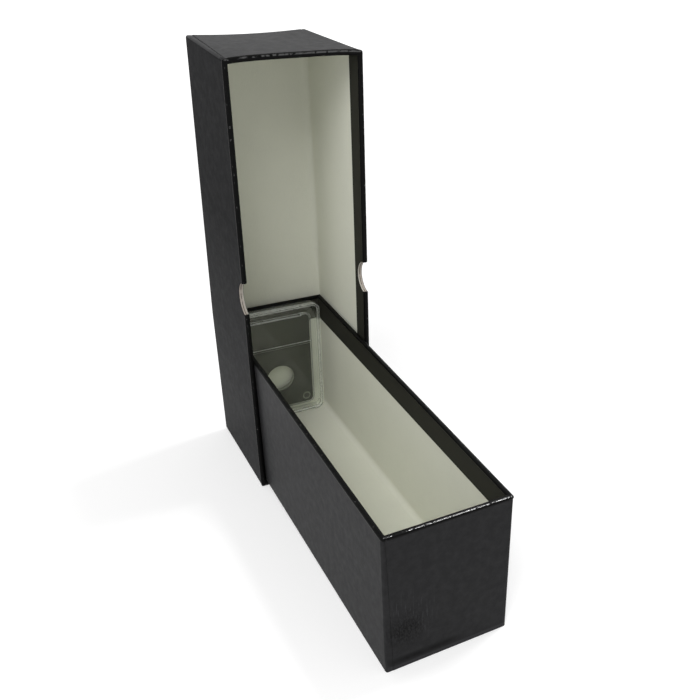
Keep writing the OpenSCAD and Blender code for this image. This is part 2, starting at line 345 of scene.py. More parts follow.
def bent_copy(node, which, slack, material):
    """A box part cut into small cells and bent with its box, standing for its CAD node."""
    box = BOXES[which]
    work = own_copy(node, which)
    cut_across(work, 0, cell_places(-box.width / 2, box.width, slack.cell))
    cut_across(work, 1, cell_places(0, box.length, slack.cell))
    cut_across(work, 2, cell_places(0, box.height, slack.cell))
    if node.endswith("liner"):
        steps = [slack.cove * share for share in COVE_SHARES]
        half = box.width / 2 - LINING_SIDE_IN
        cut_across(work, 0, [side * (half - step) for step in steps for side in (-1, 1)])
        cut_across(work, 1, [LINING_END_IN + step for step in steps])
        cut_across(work, 1, [box.length - LINING_END_IN - step for step in steps])
        cut_across(work, 2, [LINING_SIDE_IN + step for step in steps])
    bmesh.ops.triangulate(work, faces=[f for f in work.faces if len(f.verts) > 4])
    mesh = bpy.data.meshes.new(node)
    work.to_mesh(mesh)
    work.free()
    piece = bent_object("bent_" + node, mesh, which, slack, material)
    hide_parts(node)
    return piece


def rim_tree():
    """Geometry Nodes: the strip of paper over the rim swells into a crown and wrinkles where it was folded. Its
    lower edge sinks into the wrap. The noise's W is its seed."""
    tree = bpy.data.node_groups.new("rim fold", "GeometryNodeTree")
    face = tree.interface
    face.new_socket("Geometry", in_out="OUTPUT", socket_type="NodeSocketGeometry")
    face.new_socket("Geometry", in_out="INPUT", socket_type="NodeSocketGeometry")
    for name, kind in (("Box width", "Float"), ("Box length", "Float"), ("Rim height", "Float"),
                       ("Wrinkle height", "Float"), ("Wrinkle length", "Float"), ("Swell", "Float"),
                       ("Crown", "Float"), ("Material", "Material")):
        face.new_socket(name, in_out="INPUT", socket_type="NodeSocket" + kind)
    given = add(tree, "NodeGroupInput").outputs
    fine = add(tree, "GeometryNodeSubdivideMesh", {"Mesh": given["Geometry"], "Level": 1}).outputs[0]
    position = add(tree, "GeometryNodeInputPosition").outputs[0]
    normal = add(tree, "GeometryNodeInputNormal").outputs[0]
    scale = add(tree, "ShaderNodeMath", {0: 1.0, 1: given["Wrinkle length"]}, operation="DIVIDE").outputs[0]
    wrinkle = add(tree, "ShaderNodeTexNoise", {"Vector": position, "Scale": scale, "Detail": 2.0, "W": 3.0,
                                               "Distortion": 0.7}, noise_dimensions="4D").outputs["Fac"]
    parts = add(tree, "ShaderNodeSeparateXYZ", {0: position}).outputs
    height = parts["Z"]
    wide = add(tree, "ShaderNodeMath", {0: parts["X"]}, operation="ABSOLUTE").outputs[0]
    half = add(tree, "ShaderNodeMath", {0: given["Box width"], 1: 0.5}, operation="MULTIPLY").outputs[0]
    side = add(tree, "ShaderNodeMath", {0: half, 1: wide}, operation="SUBTRACT").outputs[0]
    far = add(tree, "ShaderNodeMath", {0: given["Box length"], 1: parts["Y"]}, operation="SUBTRACT").outputs[0]
    end = add(tree, "ShaderNodeMath", {0: parts["Y"], 1: far}, operation="MINIMUM").outputs[0]
    inset = add(tree, "ShaderNodeMath", {0: side, 1: end}, operation="MINIMUM").outputs[0]
    across = add(tree, "ShaderNodeMapRange", {0: inset, 1: 0.0, 2: 2 * RIM_MIDDLE, 3: -1.0, 4: 1.0}).outputs[0]
    square = add(tree, "ShaderNodeMath", {0: across, 1: across}, operation="MULTIPLY").outputs[0]
    arch = add(tree, "ShaderNodeMath", {0: 1.0, 1: square}, operation="SUBTRACT").outputs[0]
    crown = add(tree, "ShaderNodeMath", {0: arch, 1: given["Crown"], 2: given["Swell"]},
                operation="MULTIPLY_ADD").outputs[0]
    below = add(tree, "ShaderNodeMath", {0: given["Rim height"], 1: height}, operation="SUBTRACT").outputs[0]
    fade = add(tree, "ShaderNodeMapRange", {0: below, 1: 1.4 * MM, 2: 0.5 * MM},
               interpolation_type="SMOOTHSTEP").outputs[0]
    rough = add(tree, "ShaderNodeMath", {0: wrinkle, 1: given["Wrinkle height"], 2: crown},
                operation="MULTIPLY_ADD").outputs[0]
    amount = add(tree, "ShaderNodeMath", {0: rough, 1: fade}, operation="MULTIPLY").outputs[0]
    sink = add(tree, "ShaderNodeMapRange", {0: below, 1: 1.5 * MM, 2: 1.1 * MM, 3: -0.04 * MM,
                                            4: 0.02 * MM}).outputs[0]
    amount = add(tree, "ShaderNodeMath", {0: amount, 1: sink}, operation="ADD").outputs[0]
    offset = add(tree, "ShaderNodeVectorMath", {0: normal, "Scale": amount}, operation="SCALE").outputs[0]
    moved = add(tree, "GeometryNodeSetPosition", {"Geometry": fine, "Offset": offset}).outputs[0]
    smooth = add(tree, "GeometryNodeSetShadeSmooth", {0: moved}).outputs[0]
    real = add(tree, "GeometryNodeRealizeInstances", {0: smooth}).outputs[0]
    done = add(tree, "GeometryNodeSetMaterial", {"Geometry": real, "Material": given["Material"]}).outputs[0]
    add(tree, "NodeGroupOutput", {0: done})
    return tree


def rim_strip(which, slack, material):
    """The folded paper strip along a box's rim, shaped by Geometry Nodes over the wrap beneath it."""
    box = BOXES[which]
    work = own_copy(which + "_wrap", which)
    bmesh.ops.bisect_plane(work, geom=work.verts[:] + work.edges[:] + work.faces[:], dist=1e-7,
                           plane_co=(0, 0, box.height - RIM_DEPTH), plane_no=(0, 0, -1), clear_outer=True)
    open_edges = [e for e in work.edges if e.is_boundary]
    bmesh.ops.triangle_fill(work, edges=open_edges, use_beauty=True, normal=(0, 0, -1))
    cut_across(work, 0, cell_places(-box.width / 2, box.width, slack.rim_cell))
    cut_across(work, 1, cell_places(0, box.length, slack.rim_cell))
    cut_across(work, 0, [side * (box.width / 2 - RIM_MIDDLE) for side in (-1, 1)])
    cut_across(work, 1, [RIM_MIDDLE, box.length - RIM_MIDDLE])
    cut_across(work, 2, [box.height - 1.1 * MM])
    bmesh.ops.recalc_face_normals(work, faces=work.faces)
    start = bpy.data.meshes.new(which + "_rim_start")
    work.to_mesh(start)
    work.free()
    maker = bpy.data.objects.new(which + "_rim_maker", start)
    bpy.context.scene.collection.objects.link(maker)
    modifier = maker.modifiers.new("rim fold", "NODES")
    modifier.node_group = rim_tree()
    values = {"Box width": box.width, "Box length": box.length, "Rim height": box.height,
              "Wrinkle height": slack.wrinkle, "Wrinkle length": slack.wrinkle_length,
              "Swell": slack.swell, "Crown": slack.crown, "Material": material}
    for item in modifier.node_group.interface.items_tree:
        if item.in_out == "INPUT" and item.name in values:
            modifier[item.identifier] = values[item.name]
    bpy.context.view_layer.update()
    mesh = bpy.data.meshes.new_from_object(maker.evaluated_get(bpy.context.evaluated_depsgraph_get()))
    mesh.name = which + "_rim"
    mesh.set_sharp_from_angle(angle=math.radians(50))
    bpy.data.objects.remove(maker)
    return bent_object(which + "_rim_fold", mesh, which, slack, material)


def place_of(tree):
    """The unbent place in the box's own frame, in metres, with z counted from the rim, and its parts."""
    place = add(tree, "ShaderNodeAttribute", attribute_name=PLACE).outputs["Vector"]
    parts = add(tree, "ShaderNodeSeparateXYZ", {0: place})
    return place, parts.outputs["X"], parts.outputs["Y"], parts.outputs["Z"]


def band(tree, value, low, high, soft):
    """1 where value lies between low and high, falling off over soft."""
    rise = add(tree, "ShaderNodeMapRange", {0: value, 1: low - soft / 2, 2: low + soft / 2},
               interpolation_type="SMOOTHSTEP").outputs[0]
    fall = add(tree, "ShaderNodeMapRange", {0: value, 1: high + soft / 2, 2: high - soft / 2},
               interpolation_type="SMOOTHSTEP").outputs[0]
    return add(tree, "ShaderNodeMath", {0: rise, 1: fall}, operation="MULTIPLY").outputs[0]


def inset_of(tree, which, x, y):
    """Distance inwards from the nearest outer face, and the same for the long walls alone."""
    box = BOXES[which]
    wide = add(tree, "ShaderNodeMath", {0: x}, operation="ABSOLUTE").outputs[0]
    side = add(tree, "ShaderNodeMath", {0: box.width / 2, 1: wide}, operation="SUBTRACT").outputs[0]
    far = add(tree, "ShaderNodeMath", {0: box.length, 1: y}, operation="SUBTRACT").outputs[0]
    end = add(tree, "ShaderNodeMath", {0: y, 1: far}, operation="MINIMUM").outputs[0]
    return add(tree, "ShaderNodeMath", {0: side, 1: end}, operation="MINIMUM").outputs[0], side


def patch(tree, x, z, across, up):
    """1 inside a soft-edged patch; across and up each give its low, high and softness in mm."""
    sides = band(tree, x, *(value * MM for value in across))
    levels = band(tree, z, *(value * MM for value in up))
    return add(tree, "ShaderNodeMath", {0: sides, 1: levels}, operation="MULTIPLY").outputs[0]


def end_wear_and_painted_light(tree, place, mottle, colour, rough, bump):
    """Marks on the tray's near end panel: wear in a creased dark patch low on the left and brushed lines above
    it, then painted shade in a dull band just above the bottom fold and a painted highlight along the foot.
    Returns the new colour, roughness and normal."""
    x, y, z = place_of(tree)[1:]
    upright = add(tree, "ShaderNodeMapping", {"Vector": place, "Scale": (1.0, 1.0, 0.55)}).outputs[0]
    crease = add(tree, "ShaderNodeTexNoise", {"Vector": upright, "Scale": 1 / (0.9 * MM), "Detail": 4.0,
                                              "Distortion": 0.6}).outputs["Fac"]
    streaked = add(tree, "ShaderNodeMapping", {"Vector": place, "Scale": (1.0, 1.0, 0.08)}).outputs[0]
    streak = add(tree, "ShaderNodeTexNoise", {"Vector": streaked, "Scale": 1 / (0.8 * MM), "Detail": 3.0,
                                              "Roughness": 0.6}).outputs["Fac"]
    near_end = band(tree, y, -1, 0.6 * MM, 0.4 * MM)
    ragged = add(tree, "ShaderNodeMapRange", {0: mottle, 1: 0.35, 2: 0.6, 3: 0.45, 4: 1.0}).outputs[0]
    areas = [patch(tree, x, z, *place) for place in (CREASED_PATCH, BRUSHED_PATCH, SHADE_BAND_PATCH)]
    areas.append(band(tree, z, -1, FOLD_HIGHLIGHT_TO * MM, 1.0 * MM))
    rubbed, brushed, shade_band, fold_highlight = (
        add(tree, "ShaderNodeMath", {0: area, 1: near_end}, operation="MULTIPLY").outputs[0] for area in areas)
    shade_band = add(tree, "ShaderNodeMath", {0: shade_band, 1: ragged}, operation="MULTIPLY").outputs[0]

    line = add(tree, "ShaderNodeMapRange", {0: streak, 1: 0.56, 2: 0.66}).outputs[0]
    line = add(tree, "ShaderNodeMath", {0: line, 1: brushed}, operation="MULTIPLY").outputs[0]
    # The foot's paler colour is a painted highlight along the bottom fold
    foot = add(tree, "ShaderNodeMath", {0: fold_highlight, 1: 0.5}, operation="MULTIPLY").outputs[0]
    pale = add(tree, "ShaderNodeMath", {0: line, 1: foot}, operation="MAXIMUM").outputs[0]
    colour = add(tree, "ShaderNodeMix", {0: pale, 6: colour, 7: linear("#38383a")}, data_type="RGBA").outputs[2]

    cracked = add(tree, "ShaderNodeMapRange", {0: crease, 1: 0.44, 2: 0.56, 3: 0.3, 4: 1.0}).outputs[0]
    dark = add(tree, "ShaderNodeMath", {0: rubbed, 1: cracked}, operation="MULTIPLY").outputs[0]
    # Painted shade: the band just above the bottom fold is darkened
    dull = add(tree, "ShaderNodeMath", {0: shade_band, 1: 0.75}, operation="MULTIPLY").outputs[0]
    dark = add(tree, "ShaderNodeMath", {0: dark, 1: dull}, operation="MAXIMUM").outputs[0]
    colour = add(tree, "ShaderNodeMix", {0: dark, 6: colour, 7: linear("#0a0a0a")}, data_type="RGBA").outputs[2]
    rough = add(tree, "ShaderNodeMix", {0: rubbed, 2: rough, 3: 0.3}).outputs[0]
    rough = add(tree, "ShaderNodeMix", {0: shade_band, 2: rough, 3: 0.75}).outputs[0]

    folds = add(tree, "ShaderNodeMath", {0: crease, 1: streak}, operation="ADD").outputs[0]
    depth = add(tree, "ShaderNodeMath", {0: rubbed, 1: 0.1 * MM}, operation="MULTIPLY").outputs[0]
    creased = add(tree, "ShaderNodeMath", {0: folds, 1: depth}, operation="MULTIPLY").outputs[0]
    bump = add(tree, "ShaderNodeBump", {"Strength": 1.0, "Distance": 1.0, "Height": creased,
                                        "Normal": bump}).outputs[0]
    return colour, rough, bump


def wrap_paper(which, paper):
    """Black embossed box paper: dyed paper with a pressed grain and a thin glossy coat. It gives soft, nearly
    even highlights, duller on the margin turned in over the rim. On the lid's long flanks the sheen is cut back,
    more so higher up: painted shade in the reflection."""
    box = BOXES[which]
    material, tree = fresh_material("black embossed paper, " + which)
    place, x, y, z = place_of(tree)
    inset, side = inset_of(tree, which, x, y)
    grain = add(tree, "ShaderNodeTexNoise", {"Vector": place, "Scale": 1 / paper.grain, "Detail": 3.0,
                                             "Roughness": 0.6}).outputs["Fac"]
    mottle = add(tree, "ShaderNodeTexNoise", {"Vector": place, "Scale": 1 / (5 * MM), "Detail": 4.0,
                                              "Roughness": 0.7}).outputs["Fac"]
    deep = band(tree, inset, 1.4 * MM, 1, 0.4 * MM)
    high = band(tree, z, -box.turn_in - 0.5 * MM, 1, 0.4 * MM)
    inside = add(tree, "ShaderNodeMath", {0: deep, 1: high}, operation="MULTIPLY").outputs[0]
    polish = add(tree, "ShaderNodeMapRange", {0: mottle, 1: 0.4, 2: 0.7}).outputs[0]
    outside = add(tree, "ShaderNodeMix", {0: polish, 6: tuple(paper.outside), 7: tuple(paper.worn)},
                  data_type="RGBA").outputs[2]
    colour = add(tree, "ShaderNodeMix", {0: inside, 6: outside, 7: tuple(paper.turned_in)},
                 data_type="RGBA").outputs[2]
    rough = add(tree, "ShaderNodeMapRange", {0: mottle, 1: 0.3, 2: 0.7, 3: 0.5, 4: 0.44}).outputs[0]
    rough = add(tree, "ShaderNodeMix", {0: inside, 2: rough, 3: 0.6}).outputs[0]
    bump = add(tree, "ShaderNodeBump", {"Strength": paper.grain_depth, "Distance": 0.05 * MM,
                                        "Height": grain}).outputs[0]
    level = COAT
    if which == "tray":
        colour, rough, bump = end_wear_and_painted_light(tree, place, mottle, colour, rough, bump)
    else:
        # Painted shade: the lid's long flanks lose their sheen, more so higher up, standing for the darker
        # surroundings they reflect
        flank = band(tree, side, -1, 0.3 * MM, 0.2 * MM)
        flank_shade_level = add(tree, "ShaderNodeMapRange", {0: y, 1: 40 * MM, 2: 170 * MM, 3: 0.016, 4: 0.003}).outputs[0]
        level = add(tree, "ShaderNodeMix", {0: flank, 2: level, 3: flank_shade_level}).outputs[0]
    shader = add(tree, "ShaderNodeBsdfPrincipled", {"Base Color": colour, "Roughness": rough, "Normal": bump,
                                                    "IOR": 1.45, "Specular IOR Level": level})
    add(tree, "ShaderNodeOutputMaterial", {"Surface": shader.outputs[0]})
    return material


def rim_paper(which, paper):
    """The same paper over the fold, painted near black as shade on the rim, with a burnished line along the outer
    half of the fold that breaks into glints, close together on the end panels and rare on the long walls."""
    material, tree = fresh_material("burnished rim paper, " + which)
    place, x, y, z = place_of(tree)
    inset, side = inset_of(tree, which, x, y)
    crease = add(tree, "ShaderNodeTexNoise", {"Vector": place, "Scale": 1 / (0.9 * MM), "Detail": 4.0,
                                              "Distortion": 1.0}).outputs["Fac"]
    patches = add(tree, "ShaderNodeTexNoise", {"Vector": place, "Scale": 1 / (2.2 * MM), "Detail": 3.0,
                                               "Roughness": 0.7}).outputs["Fac"]
    long_wall = add(tree, "ShaderNodeMath", {0: side, 1: inset, 2: 0.3 * MM}, operation="COMPARE").outputs[0]
    end_start = add(tree, "ShaderNodeMapRange", {0: x, 1: -30 * MM, 2: 5 * MM, 3: 0.56, 4: 0.4}).outputs[0]
    start = add(tree, "ShaderNodeMix", {0: long_wall, 2: end_start, 3: 0.62}).outputs[0]
    above = add(tree, "ShaderNodeMath", {0: patches, 1: start}, operation="SUBTRACT").outputs[0]
    kept = add(tree, "ShaderNodeMapRange", {0: above, 1: 0.0, 2: 0.05}).outputs[0]
    line = band(tree, inset, 0.4 * MM, 1.2 * MM, 0.2 * MM)
    on_top = band(tree, z, -0.5 * MM, 1, 0.2 * MM)
    line = add(tree, "ShaderNodeMath", {0: line, 1: on_top}, operation="MULTIPLY").outputs[0]
    glint = add(tree, "ShaderNodeMath", {0: line, 1: kept}, operation="MULTIPLY").outputs[0]
    rough = add(tree, "ShaderNodeMix", {0: glint, 2: 0.4, 3: 0.12}).outputs[0]
    level = add(tree, "ShaderNodeMix", {0: glint, 2: COAT, 3: 1.0}).outputs[0]
    bump = add(tree, "ShaderNodeBump", {"Strength": 1.0, "Distance": 0.1 * MM, "Height": crease}).outputs[0]
    shader = add(tree, "ShaderNodeBsdfPrincipled", {"Base Color": tuple(paper.rim), "Roughness": rough,
                                                    "Normal": bump, "IOR": 1.5, "Specular IOR Level": level})
    add(tree, "ShaderNodeOutputMaterial", {"Surface": shader.outputs[0]})
    return material


def lining_paper(which, paper):
    """Uncoated lining paper: matt and greyish cream, with loose fibres and a faint cloud in its shade."""
    material, tree = fresh_material("cream lining paper, " + which)
    place = place_of(tree)[0]
    cloud = add(tree, "ShaderNodeTexNoise", {"Vector": place, "Scale": 1 / (22 * MM),
                                             "Detail": 3.0}).outputs["Fac"]
    stretched = add(tree, "ShaderNodeMapping", {"Vector": place, "Scale": (1.0, 0.25, 1.0)}).outputs[0]
    fibre = add(tree, "ShaderNodeTexNoise", {"Vector": stretched, "Scale": 1 / (0.6 * MM), "Detail": 4.0,
                                             "Roughness": 0.7}).outputs["Fac"]
    base = tuple(paper.lining)
    dull = tuple(c * 0.86 for c in base[:3]) + (1.0,)
    fleck = add(tree, "ShaderNodeMapRange", {0: fibre, 1: 0.35, 2: 0.65, 3: 0.0, 4: 0.5}).outputs[0]
    shade = add(tree, "ShaderNodeMapRange", {0: cloud, 1: 0.35, 2: 0.7, 3: 0.0, 4: 0.7}).outputs[0]
    amount = add(tree, "ShaderNodeMath", {0: fleck, 1: shade}, operation="MULTIPLY").outputs[0]
    colour = add(tree, "ShaderNodeMix", {0: amount, 6: base, 7: dull}, data_type="RGBA").outputs[2]
    bump = add(tree, "ShaderNodeBump", {"Strength": 0.3, "Distance": 0.08 * MM, "Height": fibre}).outputs[0]
    shader = add(tree, "ShaderNodeBsdfPrincipled", {"Base Color": colour, "Roughness": 0.86, "Normal": bump,
                                                    "IOR": 1.4})
    add(tree, "ShaderNodeOutputMaterial", {"Surface": shader.outputs[0]})
    return material


def chipboard(which, paper):
    """Grey chipboard: pressed waste-paper plies, which show as fine stripes in the punched edge of a notch."""
    material, tree = fresh_material("grey chipboard, " + which)
    place, x = place_of(tree)[:2]
    warp = add(tree, "ShaderNodeTexNoise", {"Vector": place, "Scale": 1 / (3 * MM), "Detail": 3.0}).outputs["Fac"]
    across = add(tree, "ShaderNodeMath", {0: warp, 1: 0.25 * MM, 2: x}, operation="MULTIPLY_ADD").outputs[0]
    plies = add(tree, "ShaderNodeMath", {0: across, 1: 2 * math.pi / (0.42 * MM)},
                operation="MULTIPLY").outputs[0]
    wave = add(tree, "ShaderNodeMath", {0: plies}, operation="SINE").outputs[0]
    amount = add(tree, "ShaderNodeMapRange", {0: wave, 1: -0.4, 2: 1.0, 4: 0.4}).outputs[0]
    depth = add(tree, "ShaderNodeMath", {0: across}, operation="ABSOLUTE").outputs[0]
    depth = add(tree, "ShaderNodeMath", {0: BOXES[which].width / 2, 1: depth}, operation="SUBTRACT").outputs[0]
    glue = band(tree, depth, 1.1 * MM, 1.45 * MM, 0.15 * MM)
    inner = band(tree, depth, 1.4 * MM, 1, 0.1 * MM)
    gaps = add(tree, "ShaderNodeMapRange", {0: warp, 1: 0.3, 2: 0.45}).outputs[0]
    inner = add(tree, "ShaderNodeMath", {0: inner, 1: 0.15}, operation="MULTIPLY").outputs[0]
    amount = add(tree, "ShaderNodeMath", {0: amount, 1: inner}, operation="MAXIMUM").outputs[0]
    glue = add(tree, "ShaderNodeMath", {0: glue, 1: gaps}, operation="MULTIPLY").outputs[0]
    amount = add(tree, "ShaderNodeMath", {0: amount, 1: glue}, operation="MAXIMUM").outputs[0]
    colour = add(tree, "ShaderNodeMix", {0: amount, 6: tuple(paper.board), 7: tuple(paper.board_ply)},
                 data_type="RGBA").outputs[2]
    fuzz = add(tree, "ShaderNodeTexNoise", {"Vector": place, "Scale": 1 / (0.3 * MM),
                                            "Detail": 3.0}).outputs["Fac"]
    bump = add(tree, "ShaderNodeBump", {"Strength": 0.5, "Distance": 0.1 * MM, "Height": fuzz}).outputs[0]
    shader = add(tree, "ShaderNodeBsdfPrincipled", {"Base Color": colour, "Roughness": 0.9, "Normal": bump,
                                                    "IOR": 1.4})
    add(tree, "ShaderNodeOutputMaterial", {"Surface": shader.outputs[0]})
    return material


def gummed_paper(paper):
    """Gummed kraft tape: brown, smooth and slightly shiny from its dried glue."""
    material, tree = fresh_material("gummed kraft tape")
    place = place_of(tree)[0]
    fibre = add(tree, "ShaderNodeTexNoise", {"Vector": place, "Scale": 1 / (0.8 * MM),
                                             "Detail": 4.0}).outputs["Fac"]
    dark = tuple(c * 0.75 for c in paper.stay[:3]) + (1.0,)
    colour = add(tree, "ShaderNodeMix", {0: fibre, 6: tuple(paper.stay), 7: dark}, data_type="RGBA").outputs[2]
    bump = add(tree, "ShaderNodeBump", {"Strength": 0.2, "Distance": 0.05 * MM, "Height": fibre}).outputs[0]
    shader = add(tree, "ShaderNodeBsdfPrincipled", {"Base Color": colour, "Roughness": 0.5, "Normal": bump,
                                                    "IOR": 1.45})
    add(tree, "ShaderNodeOutputMaterial", {"Surface": shader.outputs[0]})
    return material


def clear_plastic(holder):
    """Injection-moulded clear polystyrene: sharp at the windows, with fine flow lines and light scuffs. Light
    from the lamps passes straight through it, so it casts no dark shadow."""
    material, tree = fresh_material("clear polystyrene")
    place = add(tree, "ShaderNodeTexCoord").outputs["Object"]
    flow = add(tree, "ShaderNodeTexNoise", {"Vector": place, "Scale": 1 / (14 * MM),
                                            "Detail": 2.0}).outputs["Fac"]
    scuff = add(tree, "ShaderNodeTexNoise", {"Vector": place, "Scale": 1 / (1.5 * MM), "Detail": 5.0,
                                             "Roughness": 0.7}).outputs["Fac"]
    rough = add(tree, "ShaderNodeMapRange", {0: scuff, 1: 0.45, 2: 0.75, 3: holder.clear_roughness,
                                             4: holder.clear_roughness * 1.4}).outputs[0]
    bump = add(tree, "ShaderNodeBump", {"Strength": 0.05, "Distance": 0.2 * MM, "Height": flow}).outputs[0]
    shader = add(tree, "ShaderNodeBsdfPrincipled", {"Base Color": tuple(holder.clear), "Roughness": rough,
                                                    "Normal": bump, "IOR": 1.5, "Transmission Weight": 1.0})
    path = add(tree, "ShaderNodeLightPath").outputs
    lit = add(tree, "ShaderNodeMath", {0: path["Is Shadow Ray"], 1: path["Is Diffuse Ray"]},
              operation="MAXIMUM").outputs[0]
    open_way = add(tree, "ShaderNodeBsdfTransparent", {"Color": WHITE}).outputs[0]
    whole = add(tree, "ShaderNodeMixShader", {0: lit, 1: shader.outputs[0], 2: open_way}).outputs[0]
    add(tree, "ShaderNodeOutputMaterial", {"Surface": whole})
    return material


def pale_edge_highlight(holder):
    """The same polystyrene on its edges, painted pale: each edge shows as a pale line, which is a painted
    highlight.
    """
    material, tree = fresh_material("clear polystyrene, highlit edge")
    place = add(tree, "ShaderNodeTexCoord").outputs["Object"]
    nick = add(tree, "ShaderNodeTexNoise", {"Vector": place, "Scale": 1 / (0.8 * MM),
                                            "Detail": 3.0}).outputs["Fac"]
    rough = add(tree, "ShaderNodeMapRange", {0: nick, 1: 0.35, 2: 0.65, 3: 0.2, 4: 0.45}).outputs[0]
    shader = add(tree, "ShaderNodeBsdfPrincipled", {"Base Color": tuple(holder.edge_highlight_colour), "Roughness": rough,
                                                    "IOR": 1.59, "Transmission Weight": 0.55})
    add(tree, "ShaderNodeOutputMaterial", {"Surface": shader.outputs[0]})
    return material


def dark_polystyrene(name, base, roughness):
    """Moulded dark polystyrene with a fine spark-eroded face: even and slightly olive. The insert's edges and its
    moulded ring take a polished one, in a paler colour that is a painted highlight."""
    material, tree = fresh_material(name)
    place = add(tree, "ShaderNodeTexCoord").outputs["Object"]
    texture = add(tree, "ShaderNodeTexNoise", {"Vector": place, "Scale": 1 / (0.5 * MM),
                                               "Detail": 1.0}).outputs["Fac"]
    cloud = add(tree, "ShaderNodeTexNoise", {"Vector": place, "Scale": 1 / (20 * MM),
                                             "Detail": 2.0}).outputs["Fac"]
    lighter = tuple(min(1, c * 1.2) for c in base[:3]) + (1.0,)
    colour = add(tree, "ShaderNodeMix", {0: cloud, 6: tuple(base), 7: lighter}, data_type="RGBA").outputs[2]
    bump = add(tree, "ShaderNodeBump", {"Strength": 0.1, "Distance": 0.01 * MM, "Height": texture}).outputs[0]
    shader = add(tree, "ShaderNodeBsdfPrincipled", {"Base Color": colour, "Roughness": roughness, "Normal": bump,
                                                    "IOR": 1.59, "Specular IOR Level": 0.25})
    add(tree, "ShaderNodeOutputMaterial", {"Surface": shader.outputs[0]})
    return material


def rounded_copy(node, width, body, material, edge_material=None, small=0.0):
    """A moulding with the small radii that its tool leaves on every edge, standing for its CAD node. Its edges,
    and its faces below the small area, take the edge material where there is one. Large faces stay flat, so
    that the clear windows don't bend what is seen through them."""
    mesh = bpy.data.meshes.new(node)
    work = bmesh.new()
    work.from_mesh(frame["nodes"][node].data)
    bmesh.ops.remove_doubles(work, verts=work.verts, dist=MERGE)
    bmesh.ops.dissolve_limit(work, angle_limit=math.radians(0.5), verts=work.verts, edges=work.edges)
    bmesh.ops.recalc_face_normals(work, faces=work.faces)
    work.to_mesh(mesh)
    work.free()
    maker = bpy.data.objects.new(node + "_maker", mesh)
    bpy.context.scene.collection.objects.link(maker)
    bevel = maker.modifiers.new("edges", "BEVEL")
    bevel.width = width
    bevel.segments = 2
    bevel.limit_method = "ANGLE"
    bevel.angle_limit = math.radians(40)
    if edge_material:
        mesh.materials.append(material)
        mesh.materials.append(edge_material)
        bevel.material = 1
        for face in mesh.polygons:
            face.material_index = int(face.area < small)
    bpy.context.view_layer.update()
    done = bpy.data.meshes.new_from_object(maker.evaluated_get(bpy.context.evaluated_depsgraph_get()))
    bpy.data.objects.remove(maker)
    done.shade_smooth()
    done.set_sharp_from_angle(angle=math.radians(20))
    for face in done.polygons:
        face.use_smooth = face.area < FLAT_AREA
    piece = bpy.data.objects.new("moulded_" + node, done)
    bpy.context.scene.collection.objects.link(piece)
    if not edge_material:
        done.materials.clear()
        done.materials.append(material)
    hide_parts(node)
    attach(piece, body)
    return piece


class COINBOX_OT_wraps(bpy.types.Operator):
    """Covers the tray and the lid in black embossed paper"""
    bl_idname = "coinbox.wraps"
    bl_label = "Outside papers"

    def execute(self, context):
        settings = context.scene.coin_box
        for which in BOXES:
            material = wrap_paper(which, settings.paper)
            bent_copy(which + "_wrap", which, settings.slack, material)
            rim_strip(which, settings.slack, rim_paper(which, settings.paper))
        return {"FINISHED"}


class COINBOX_OT_linings(bpy.types.Operator):
    """Lines the tray and the lid"""
    bl_idname = "coinbox.linings"
    bl_label = "Linings"

    def execute(self, context):
        settings = context.scene.coin_box
        for which in BOXES:
            material = lining_paper(which, settings.paper)
            bent_copy(which + "_liner", which, settings.slack, material)
        return {"FINISHED"}


class COINBOX_OT_boards(bpy.types.Operator):
    """Builds the chipboard of both boxes and the gummed stays at its corners"""
    bl_idname = "coinbox.boards"
    bl_label = "Boards and corner stays"

    def execute(self, context):
        settings = context.scene.coin_box
        tape = gummed_paper(settings.paper)
        for which, ends in (("tray", ("front", "rear")), ("lid", ("foot", "head"))):
            material = chipboard(which, settings.paper)
            bent_copy(which + "_board", which, settings.slack, material)
            for end in ends:
                for side in ("left", "right"):
                    stay = "_".join((which, "stay", end, side))
                    bent_copy(stay, which, settings.slack, tape)
        return {"FINISHED"}


class COINBOX_OT_holder(bpy.types.Operator):
    """Finishes the clear coin holder and its insert"""
    bl_idname = "coinbox.holder"
    bl_label = "Coin holder"

    def execute(self, context):
        holder = context.scene.coin_box.holder
        clear = clear_plastic(holder)
        edge = pale_edge_highlight(holder)
        rounded_copy("holder_back", holder.edge, "holder", clear)
        # The front half's edges take the pale colour of a painted highlight
        rounded_copy("holder_front", holder.edge, "front_half", clear, edge)
        face = dark_polystyrene("dark matt polystyrene", holder.insert, 0.5)
        # Polished edges and ring, in the paler colour of a painted highlight
        polished = dark_polystyrene("dark polystyrene, polished edge", holder.insert_highlight, 0.3)
        rounded_copy("coin_insert", holder.edge, "insert", face, polished, HIGHLIGHT_AREA)
        return {"FINISHED"}


def soft_lamp(name, place, aim, size, power):
    """One large square lamp turned towards a point."""
    light = bpy.data.lights.new(name, "AREA")
    light.shape = "SQUARE"
    light.size = size
    light.energy = power
    lamp = bpy.data.objects.new(name, light)
    lamp.location = place
    lamp.rotation_euler = (Vector(aim) - Vector(place)).to_track_quat("-Z", "Y").to_euler()
    bpy.context.scene.collection.objects.link(lamp)


def seen_directly(tree):
    """1 for rays from the camera, from reflections and through clear plastic."""
    path = add(tree, "ShaderNodeLightPath").outputs
    some = add(tree, "ShaderNodeMath", {0: path["Is Camera Ray"], 1: path["Is Glossy Ray"]}, operation="MAXIMUM")
    return add(tree, "ShaderNodeMath", {0: some.outputs[0], 1: path["Is Transmission Ray"]},
               operation="MAXIMUM").outputs[0]


